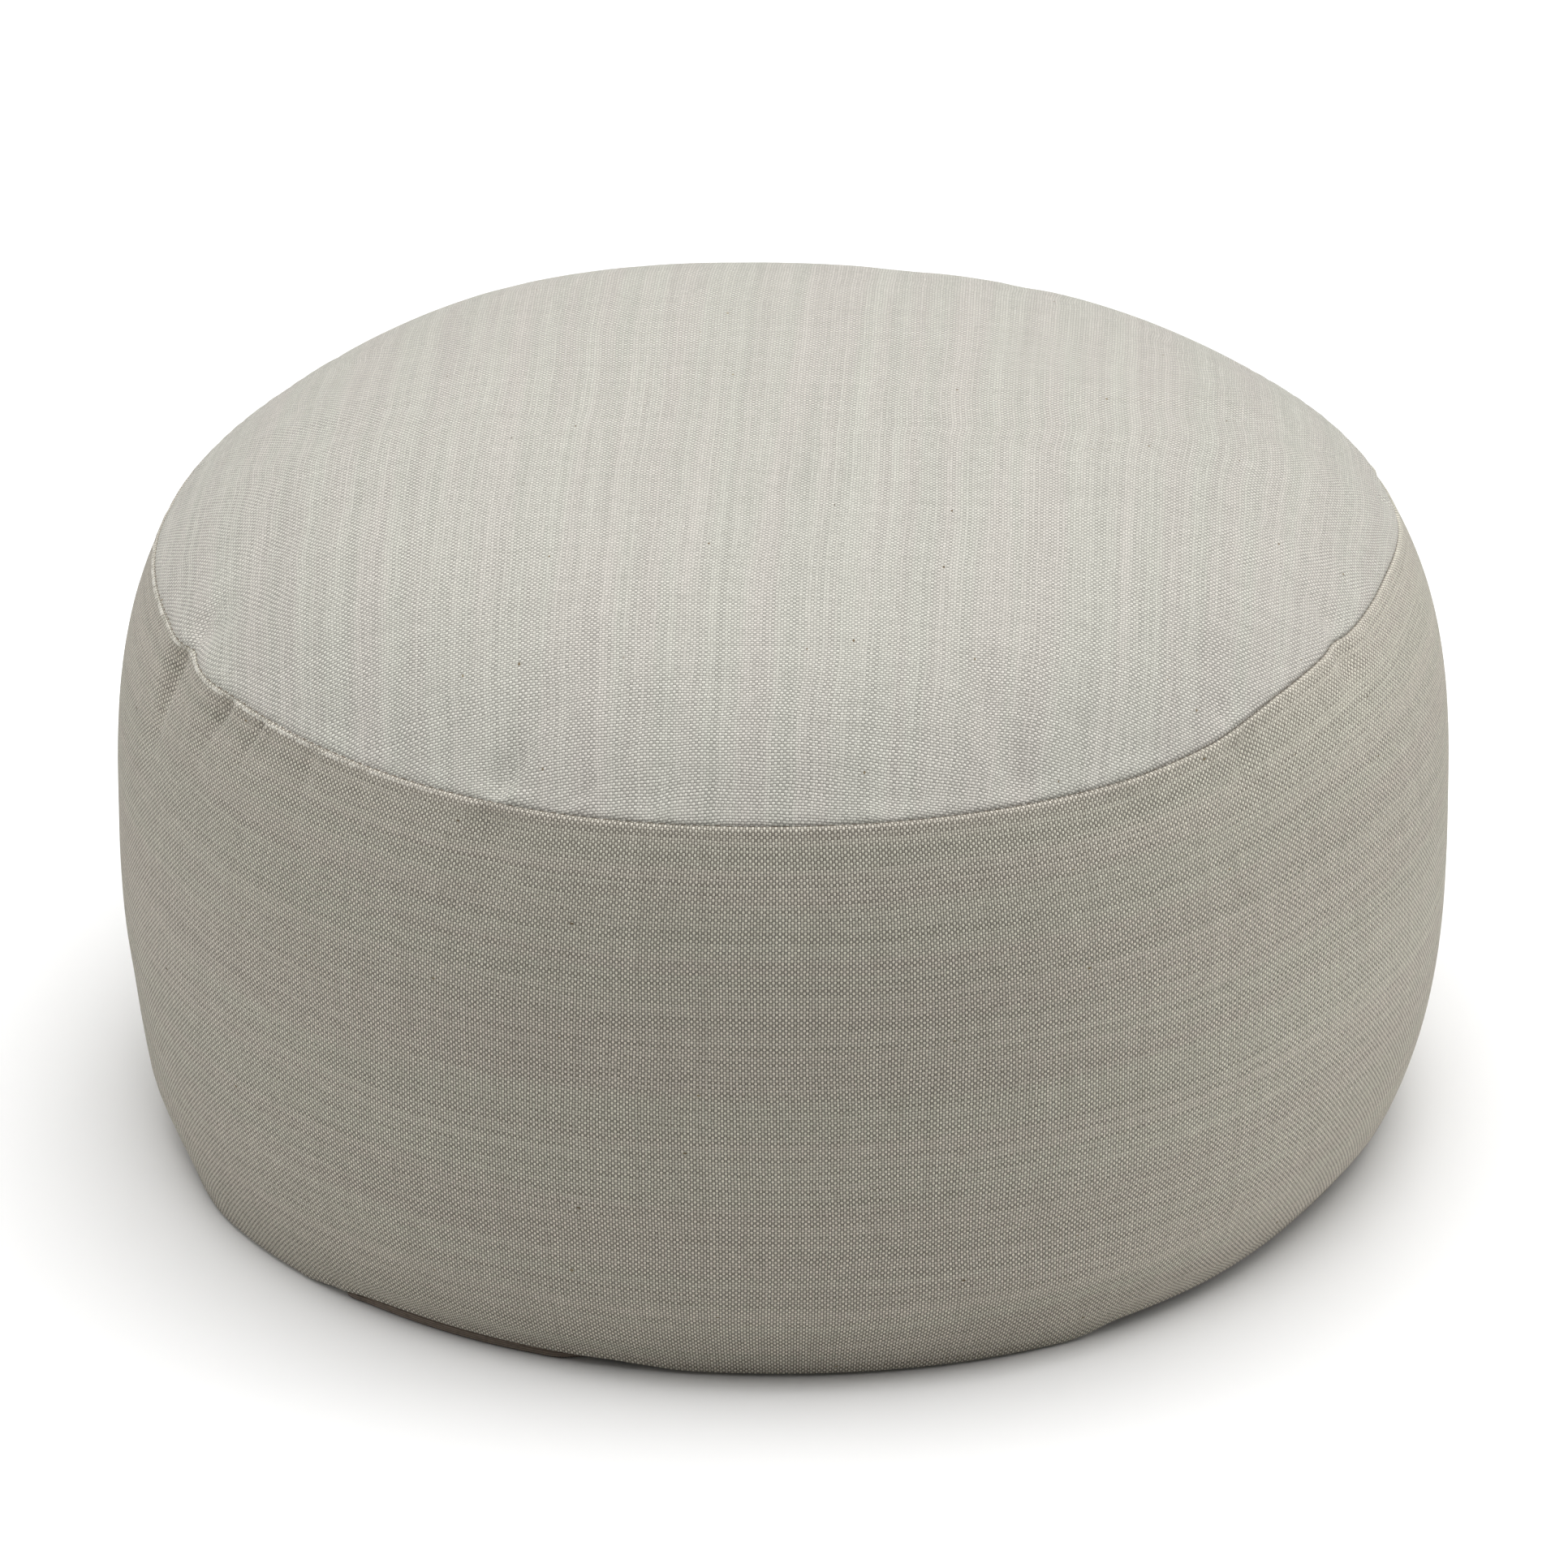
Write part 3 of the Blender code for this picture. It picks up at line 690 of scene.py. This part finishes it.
def painted_lip_highlight(tree, flat_place):
    """How much painted highlight the band's folded edge takes, in a broken line along it."""
    along, below, _ = parts_of(tree, flat_place)
    off_line = wire(tree, "ABSOLUTE", wire(tree, "ADD", below, LIP_HIGHLIGHT_BELOW))
    beside_line = ramp_of(tree, off_line, LIP_HIGHLIGHT_HALF_WIDTH, 0.3 * LIP_HIGHLIGHT_HALF_WIDTH)
    share_round = wire(tree, "DIVIDE", along, BAND_THREADS_ROUND * WARP_PITCH)
    begins = ramp_of(tree, share_round, LIP_HIGHLIGHT_FROM, LIP_HIGHLIGHT_FROM + 0.05)
    ends = ramp_of(tree, share_round, LIP_HIGHLIGHT_TO, LIP_HIGHLIGHT_TO - 0.12)
    broken = ramp_of(tree, noise_of(tree, flat_place, 500.0, 2.0, 0.6), 0.36, 0.62)
    stretch = wire(tree, "MULTIPLY", wire(tree, "MULTIPLY", begins, ends), broken)
    return wire(tree, "MULTIPLY", wire(tree, "MULTIPLY", stretch, beside_line), LIP_HIGHLIGHT_MOST)


def pulled_about(tree, flat_place):
    """The place in the top panel, whose threads run unevenly where its rim was eased into the seam."""
    flat_u, flat_v, _ = parts_of(tree, flat_place)
    squared_u = wire(tree, "MULTIPLY", flat_u, flat_u)
    squared = wire(tree, "ADD", squared_u, wire(tree, "MULTIPLY", flat_v, flat_v))
    near_rim = ramp_of(tree, wire(tree, "SQRT", squared), EASED_FROM, EASED_FULLY)
    by = wire(tree, "MULTIPLY", near_rim, EASED_BY)
    uneven = noise_of(tree, flat_place, 60.0, 1.0, 0.5, colour=True)
    centred = wire(tree, "SUBTRACT", uneven, (0.5,) * 3, kind=OF_VECTORS)
    return wire(tree, "MULTIPLY_ADD", centred, by, flat_place, kind=OF_VECTORS)


def linen(name, weft_runs, cloth):
    """Linen canvas whose weft runs the way weft_runs says: front to back or round."""
    warp_pale, warp_deep, weft_pale, weft_deep, hole_shade, relief, hole_below, streaks = cloth
    material = bpy.data.materials.new(name)
    material.use_nodes = True
    tree = material.node_tree
    shader = tree.nodes["Principled BSDF"]
    flat_place = tree.nodes.new("ShaderNodeUVMap")
    flat_place.uv_map = "cloth"
    flat_place = flat_place.outputs[0]
    place = tree.nodes.new("ShaderNodeTexCoord").outputs["Object"]
    x, y, z = parts_of(tree, place)
    # the coordinate along each set of threads, with none across them
    if weft_runs == "round":
        weft_line, warp_line = point_of(tree, x, y), point_of(tree, 0.0, 0.0, z)
    else:
        weft_line, warp_line = point_of(tree, 0.0, y), point_of(tree, x, 0.0)
    rows_place = flat_place if weft_runs == "round" else pulled_about(tree, flat_place)
    threads = placed(tree, weave, Cloth=rows_place, Relief=relief)
    weft = placed(tree, yarn, Thread=threads["Weft thread"], Along=weft_line, Seed=3.0, Whole=0.34)["Tone"]
    warp = placed(tree, yarn, Thread=threads["Warp thread"], Along=warp_line, Seed=8.0, Whole=0.12)["Tone"]
    # streaks of several threads spun from one lot of flax, and their faint green and pink casts
    _, flat_v, _ = parts_of(tree, flat_place)
    long_way = wire(tree, "MULTIPLY", weft_line, (9.0,) * 3, kind=OF_VECTORS)
    across_way = point_of(tree, 0.0, 0.0, wire(tree, "MULTIPLY", flat_v, 260.0))
    lots = wire(tree, "ADD", long_way, across_way, kind=OF_VECTORS)
    streak = noise_of(tree, lots, 1.0, 3.0, 0.55)
    cast = noise_of(tree, lots, 0.45, 2.0, 0.5)
    drawn = wire(tree, "MULTIPLY", wire(tree, "SUBTRACT", streak, 0.5), streaks)
    weft_tone = ramp_of(tree, wire(tree, "ADD", weft, drawn), 0.1, 0.9)
    warp_tone = ramp_of(tree, wire(tree, "ADD", warp, wire(tree, "MULTIPLY", drawn, 0.6)), 0.1, 0.9)
    weft_colour = colour_of(tree, weft_tone, weft_deep, weft_pale)
    warp_colour = colour_of(tree, warp_tone, warp_deep, warp_pale)
    body = colour_of(tree, threads["Weft on top"], warp_colour, weft_colour)
    casts = colour_of(tree, ramp_of(tree, cast, 0.35, 0.65), GREENISH, PINKISH)
    tinted = colour_of(tree, 1.0, body, casts, "MULTIPLY")
    if weft_runs == "round":
        # painted shade in the holes lessens towards the right of the band
        less_hole_shade = ramp_of(tree, x, LESS_HOLE_SHADE_FROM, LESS_HOLE_SHADE_FULLY)
        hole_below = blend_of(tree, less_hole_shade, hole_below, LESS_HOLE_SHADE_BELOW)
    # painted shade: each thread darkens towards its edges and into the holes between threads, by its height
    # in the weave
    shaded_cloth = colour_of(tree, ramp_of(tree, threads["Height"], 0.0, hole_below), hole_shade, tinted)
    if weft_runs == "round":
        # painted highlight on the band's folded edge under the seam
        shaded_cloth = colour_of(tree, painted_lip_highlight(tree, flat_place), shaded_cloth, LIP_HIGHLIGHT)
    husks = placed(tree, specks, Cloth=flat_place)
    husk = colour_of(tree, husks["Shade"], HUSK_DARK, HUSK_OLIVE)
    tree.links.new(colour_of(tree, husks["Speck"], shaded_cloth, husk), shader.inputs["Base Color"])
    lie = tree.nodes.new("ShaderNodeNormalMap")
    lie.uv_map = "cloth"
    tree.links.new(threads["Tilt"], lie.inputs["Color"])
    tree.links.new(lie.outputs[0], shader.inputs["Normal"])
    shader.inputs["Roughness"].default_value = 0.88
    shader.inputs["Specular IOR Level"].default_value = 0.25
    shader.inputs["Sheen Weight"].default_value = 0.12
    shader.inputs["Sheen Roughness"].default_value = 0.5
    shader.inputs["Sheen Tint"].default_value = (1.0, 0.98, 0.95, 1)
    return material


cover_mesh.materials.append(linen("linen canvas, top panel", "front to back", TOP_LINEN))
cover_mesh.materials.append(linen("linen canvas, side band", "round", BAND_LINEN))
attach(cover, "root")
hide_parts("filled_cushion")

# The sewing thread. A lockstitch of brown-grey thread that joins the two panels. It lies deep in the seam's
# crease, and only the tops of its stitches are glimpsed, where the panels draw apart. Their dark brown is
# partly the thread's own colour and partly painted shade of the seam's narrow gaps.

STITCH_PITCH = 2.9 * MM
STITCH_LENGTH = 2.1 * MM
THREAD_THICKNESS = 0.34 * MM
THREAD_SUNK = 0.05 * MM
seam_path = cover_lines[seam_line] - normals_of(cover_lines)[seam_line] * THREAD_SUNK
path_mesh = bpy.data.meshes.new("seam_path")
path_mesh.from_pydata(seam_path.tolist(), np.stack([step, beside], axis=1).tolist(), [])
sewn_line = bpy.data.objects.new("seam_thread", path_mesh)
bpy.context.scene.collection.objects.link(sewn_line)
sewing_thread = bpy.data.materials.new("brown-grey sewing thread")
sewing_thread.use_nodes = True
thread_tree = sewing_thread.node_tree
thread_shader = thread_tree.nodes["Principled BSDF"]
thread_place = thread_tree.nodes.new("ShaderNodeTexCoord").outputs["Object"]
worn = noise_of(thread_tree, thread_place, 900.0)
# the thread's brown; its dark end also stands partly for painted shade in the seam's gaps
THREAD_DARK = (0.10, 0.075, 0.05, 1)
THREAD_PALE = (0.30, 0.25, 0.19, 1)
thread_colour = colour_of(thread_tree, worn, THREAD_DARK, THREAD_PALE)
thread_tree.links.new(thread_colour, thread_shader.inputs["Base Color"])
thread_shader.inputs["Roughness"].default_value = 0.8

stitching = bpy.data.node_groups.new("stitches along the seam", "GeometryNodeTree")
stitching.interface.new_socket("Geometry", in_out="INPUT", socket_type="NodeSocketGeometry")
for label, kind in (
    ("Pitch", "NodeSocketFloat"),
    ("Length", "NodeSocketFloat"),
    ("Thickness", "NodeSocketFloat"),
    ("Thread", "NodeSocketMaterial"),
):
    stitching.interface.new_socket(label, in_out="INPUT", socket_type=kind)
stitching.interface.new_socket("Geometry", in_out="OUTPUT", socket_type="NodeSocketGeometry")
sew_in = stitching.nodes.new("NodeGroupInput").outputs
sew_out = stitching.nodes.new("NodeGroupOutput").inputs


def sewn(kind, **values):
    """A geometry node fed by name."""
    node = stitching.nodes.new(kind)
    for label, value in values.items():
        fed(stitching, [node.inputs[label.replace("_", " ")]], [value])
    return node


as_curve = sewn("GeometryNodeMeshToCurve", Mesh=sew_in["Geometry"])
even = stitching.nodes.new("GeometryNodeResampleCurve")
even.mode = "LENGTH"
fed(stitching, [even.inputs["Curve"], even.inputs["Length"]], [as_curve.outputs[0], sew_in["Pitch"]])
grain = sewn("GeometryNodeMeshIcoSphere", Radius=0.5, Subdivisions=2)
thick = stitching.nodes.new("ShaderNodeCombineXYZ")
fed(stitching, thick.inputs, [sew_in["Length"], sew_in["Thickness"], sew_in["Thickness"]])
one_stitch = sewn("GeometryNodeTransform", Geometry=grain.outputs["Mesh"], Scale=thick.outputs[0])
facing = stitching.nodes.new("FunctionNodeAlignRotationToVector")
facing.axis = "X"
tangent = stitching.nodes.new("GeometryNodeInputTangent")
stitching.links.new(tangent.outputs[0], facing.inputs["Vector"])
uneven = stitching.nodes.new("FunctionNodeRandomValue")
uneven.data_type = "FLOAT_VECTOR"
uneven.inputs["Min"].default_value = (0.78, 0.8, 0.8)
uneven.inputs["Max"].default_value = (1.05, 1.15, 1.15)
uneven.inputs["Seed"].default_value = 4
stitches = sewn(
    "GeometryNodeInstanceOnPoints",
    Points=even.outputs[0],
    Instance=one_stitch.outputs[0],
    Rotation=facing.outputs[0],
    Scale=uneven.outputs[0],
)
real = sewn("GeometryNodeRealizeInstances", Geometry=stitches.outputs[0])
rounded = sewn("GeometryNodeSetShadeSmooth", Geometry=real.outputs[0])
threaded = sewn("GeometryNodeSetMaterial", Geometry=rounded.outputs[0], Material=sew_in["Thread"])
stitching.links.new(threaded.outputs[0], sew_out[0])
sewing = sewn_line.modifiers.new("sewing", "NODES")
sewing.node_group = stitching
sockets = {item.name: item.identifier for item in stitching.interface.items_tree if item.in_out == "INPUT"}
sewing[sockets["Pitch"]] = STITCH_PITCH
sewing[sockets["Length"]] = STITCH_LENGTH
sewing[sockets["Thickness"]] = THREAD_THICKNESS
sewing[sockets["Thread"]] = sewing_thread
graph = bpy.context.evaluated_depsgraph_get()
stitch_mesh = bpy.data.meshes.new_from_object(sewn_line.evaluated_get(graph), depsgraph=graph)
sewn_line.modifiers.clear()
sewn_line.data = stitch_mesh
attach(sewn_line, "root")

# The base panel. One disc of dark taupe cloth with fine ribs, its edge turned in and sewn under the foot. The
# edge shows as a thin ribbed strip at the front left, where the band's hem has ridden up.

BASE_SEGMENTS = 640
BASE_THICKNESS = 3.0 * MM
EDGE_ROUNDING = 0.9 * MM
RIB_PITCH = 0.6 * MM
RIB_DEPTH = 0.06 * MM
INNER_THICKNESS = 1.2 * MM
panel_points = np.array([tuple(corner.co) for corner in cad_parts["base_panel"].data.vertices])
solid_step = math.tau / solid_rings.shape[1]
panel_turn = np.arctan2(panel_points[:, 1], panel_points[:, 0])
panel_step = np.round(panel_turn / solid_step).astype(int) % solid_rings.shape[1]
edge_reach = np.zeros(solid_rings.shape[1])
np.maximum.at(edge_reach, panel_step, np.hypot(panel_points[:, 0], panel_points[:, 1]))
edge_turn = np.arange(solid_rings.shape[1]) * solid_step
edge_line = np.stack([edge_reach * np.cos(edge_turn), edge_reach * np.sin(edge_turn), 0 * edge_reach], axis=1)
outline = around_evenly(edge_line[None], BASE_SEGMENTS)[0]
base_radius = np.hypot(outline[:, 0], outline[:, 1])
base_turn = np.arange(BASE_SEGMENTS) * math.tau / BASE_SEGMENTS
thinned = np.interp(np.degrees(base_turn), strip_azimuths, strip_lowered) * MM
# inset from the edge and height, from the middle of the upper side out, down the edge and in under it
base_walk = [(share, None, INNER_THICKNESS) for share in (0.25, 0.55, 0.80, 0.92)]
base_walk += [
    (None, 6.0 * MM, INNER_THICKNESS),
    (None, 4.6 * MM, 2.3 * MM),
    (None, 3.0 * MM, BASE_THICKNESS - 0.1 * MM),
]
edge_heights = np.linspace(BASE_THICKNESS, 0.0, 25)
for height in edge_heights:
    out_of_middle = abs(height - 0.5 * BASE_THICKNESS) / (0.5 * BASE_THICKNESS)
    rounding = EDGE_ROUNDING * max(0.0, out_of_middle - 0.45) ** 2 / 0.55**2
    rib = RIB_DEPTH * (0.5 + 0.5 * math.cos(math.tau * height / RIB_PITCH))
    base_walk.append((None, rounding + rib, height))
base_walk += [(None, 2.2 * MM, 0.0), (None, 5.0 * MM, 0.0)]
base_walk += [(share, None, 0.0) for share in (0.92, 0.75, 0.5, 0.25)]
base_rows = []
for share, inset, height in base_walk:
    reach = base_radius * share if inset is None else base_radius - inset
    thin = thinned if inset is not None and inset < 5 * MM else 0 * thinned
    heights = height * (1 - thin / BASE_THICKNESS)
    base_rows.append(np.stack([reach * np.cos(base_turn), reach * np.sin(base_turn), heights], 1))
base_rows = np.array(base_rows)
base_corners = [(0.0, 0.0, INNER_THICKNESS)] + base_rows.reshape(-1, 3).tolist() + [(0.0, 0.0, 0.0)]
step = np.arange(BASE_SEGMENTS)
beside = (step + 1) % BASE_SEGMENTS
row_count = len(base_rows)
starts = 1 + np.arange(row_count - 1)[:, None] * BASE_SEGMENTS
lower = starts + BASE_SEGMENTS
strips = np.stack([starts + step, lower + step, lower + beside, starts + beside], axis=2)
last_start = 1 + (row_count - 1) * BASE_SEGMENTS
base_faces = np.stack([np.zeros_like(step), 1 + step, 1 + beside], axis=1).tolist()
base_faces += strips.reshape(-1, 4).tolist()
under_middle = np.full_like(step, len(base_corners) - 1)
base_faces += np.stack([last_start + step, under_middle, last_start + beside], axis=1).tolist()
base_mesh = bpy.data.meshes.new("ribbed_base")
base_mesh.from_pydata(base_corners, [], base_faces)
base_mesh.shade_smooth()
base = bpy.data.objects.new("ribbed_base", base_mesh)
bpy.context.scene.collection.objects.link(base)

# the ribbed cloth's darker and paler tones: striped along the ribs they are painted shade in the grooves and
# painted highlight on the crests, and the darker is also the painted shade under the hem
RIB_DARK = (0.15, 0.118, 0.093, 1)
RIB_CREST_LIT = (0.27, 0.218, 0.176, 1)
EDGE_DOT_DARK = (0.03, 0.024, 0.02, 1)
EDGE_DOT_PITCH = 0.67 * MM
EDGE_DOT_ROW = 0.45 * MM
EDGE_DOT_HALF_HEIGHT = 0.25 * MM
FOOT_REACH = 167 * MM
EDGE_SHADE_FROM = 2.3 * MM
base_cloth = bpy.data.materials.new("dark ribbed base cloth")
base_cloth.use_nodes = True
base_tree = base_cloth.node_tree
base_shader = base_tree.nodes["Principled BSDF"]
base_place = base_tree.nodes.new("ShaderNodeTexCoord").outputs["Object"]
base_x, base_y, base_z = parts_of(base_tree, base_place)
on_flat = wire(base_tree, "LESS_THAN", base_z, 0.02 * MM)
rib_way = blend_of(base_tree, on_flat, base_z, base_y)
rib_wave = wire(base_tree, "COSINE", wire(base_tree, "MULTIPLY", rib_way, math.tau / RIB_PITCH))
# painted highlight on the rib crests and painted shade in the rib grooves, with a random mottle in the
# cloth's tone
rib_highlight_share = ramp_of(base_tree, wire(base_tree, "MULTIPLY", rib_wave, -1.0), -0.8, 0.7)
base_noise = noise_of(base_tree, base_place, 700.0, 2.0, 0.6)
mottled = wire(base_tree, "MULTIPLY", rib_highlight_share, ramp_of(base_tree, base_noise, 0.1, 0.62))
ribs_lit_and_shaded = colour_of(base_tree, mottled, RIB_DARK, RIB_CREST_LIT)
# a row of dark dots low along the base's edge, 0.67 mm apart
base_angle = wire(base_tree, "ARCTAN2", base_y, base_x)
edge_dots_round = float(round(math.tau * FOOT_REACH / EDGE_DOT_PITCH))
edge_dot_wave = wire(base_tree, "SINE", wire(base_tree, "MULTIPLY", base_angle, edge_dots_round))
off_row = wire(base_tree, "ABSOLUTE", wire(base_tree, "SUBTRACT", base_z, EDGE_DOT_ROW))
low = wire(base_tree, "LESS_THAN", off_row, EDGE_DOT_HALF_HEIGHT)
edge_dot = wire(base_tree, "MULTIPLY", ramp_of(base_tree, edge_dot_wave, 0.0, 0.5), low)
dotted = colour_of(base_tree, edge_dot, ribs_lit_and_shaded, EDGE_DOT_DARK)
# painted shade on the top of the base's edge, under the band's hem
shade_under_hem = ramp_of(base_tree, base_z, EDGE_SHADE_FROM, BASE_THICKNESS)
base_tree.links.new(colour_of(base_tree, shade_under_hem, dotted, RIB_DARK), base_shader.inputs["Base Color"])
nap = base_tree.nodes.new("ShaderNodeBump")
nap.inputs["Distance"].default_value = 0.1 * MM
base_tree.links.new(base_noise, nap.inputs["Height"])
base_tree.links.new(nap.outputs[0], base_shader.inputs["Normal"])
base_shader.inputs["Roughness"].default_value = 0.9
base_shader.inputs["Sheen Weight"].default_value = 0.1
base_mesh.materials.append(base_cloth)
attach(base, "root")
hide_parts("base_panel")

# The studio: a pale floor under a broad soft light, and the camera of the photograph's view

floor_mesh = bpy.data.meshes.new("studio_floor")
FLOOR_HALF = 6.0
floor_corners = [(x * FLOOR_HALF, y * FLOOR_HALF, 0) for x, y in ((-1, -1), (1, -1), (1, 1), (-1, 1))]
floor_mesh.from_pydata(floor_corners, [], [(0, 1, 2, 3)])
floor = bpy.data.objects.new("studio_floor", floor_mesh)
bpy.context.scene.collection.objects.link(floor)
paper = bpy.data.materials.new("pale studio paper")
paper.use_nodes = True
paper_tree = paper.node_tree
paper_shader = paper_tree.nodes["Principled BSDF"]
# the paper throws back less light than it shows, as the photograph's retouched ground does
seen = paper_tree.nodes.new("ShaderNodeLightPath").outputs["Is Camera Ray"]
PAPER_SEEN = (0.98, 0.98, 0.98, 1)
PAPER_LIT = (0.82, 0.81, 0.79, 1)
paper_tree.links.new(colour_of(paper_tree, seen, PAPER_LIT, PAPER_SEEN), paper_shader.inputs["Base Color"])
paper_shader.inputs["Roughness"].default_value = 0.9
floor_mesh.materials.append(paper)

# name, place, aimed at, width, depth, watts
LAMPS = (
    ("overhead", (0.15, 0.1, 2.2), (0, 0, 0.1), 2.6, 2.6, 74),
    ("right side", (2.2, 0.3, 0.9), (0, 0, 0.1), 1.4, 1.4, 10),
    ("left side", (-2.2, 0.3, 0.9), (0, 0, 0.1), 1.4, 1.4, 11),
)
for name, place, aim, width, depth, watts in LAMPS:
    lamp = bpy.data.lights.new(name, "AREA")
    lamp.shape = "RECTANGLE"
    lamp.size = width
    lamp.size_y = depth
    lamp.energy = watts
    holder = bpy.data.objects.new(name, lamp)
    holder.location = place
    holder.rotation_euler = (Vector(aim) - Vector(place)).to_track_quat("-Z", "Y").to_euler()
    bpy.context.scene.collection.objects.link(holder)
sky = bpy.data.worlds.new("studio white")
sky.use_nodes = True
sky.node_tree.nodes["Background"].inputs["Color"].default_value = (1, 1, 1, 1)
sky.node_tree.nodes["Background"].inputs["Strength"].default_value = 0.14
bpy.context.scene.world = sky
bpy.context.scene.view_settings.view_transform = "Standard"

CAMERA_ELEVATION = math.radians(26.5)
CAMERA_DISTANCE = 3.05
CAMERA_AIM = Vector((0.0014, 0.0, 0.090))
camera_data = bpy.data.cameras.new("camera")
camera_data.sensor_width = 36.0
camera_data.lens = 258.9
camera_data.clip_end = 60
camera = bpy.data.objects.new("camera", camera_data)
toward_camera = Vector((0, -math.cos(CAMERA_ELEVATION), math.sin(CAMERA_ELEVATION)))
camera.location = CAMERA_AIM + CAMERA_DISTANCE * toward_camera
camera.rotation_euler = (math.pi / 2 - CAMERA_ELEVATION, 0, 0)
bpy.context.scene.collection.objects.link(camera)
bpy.context.scene.camera = camera
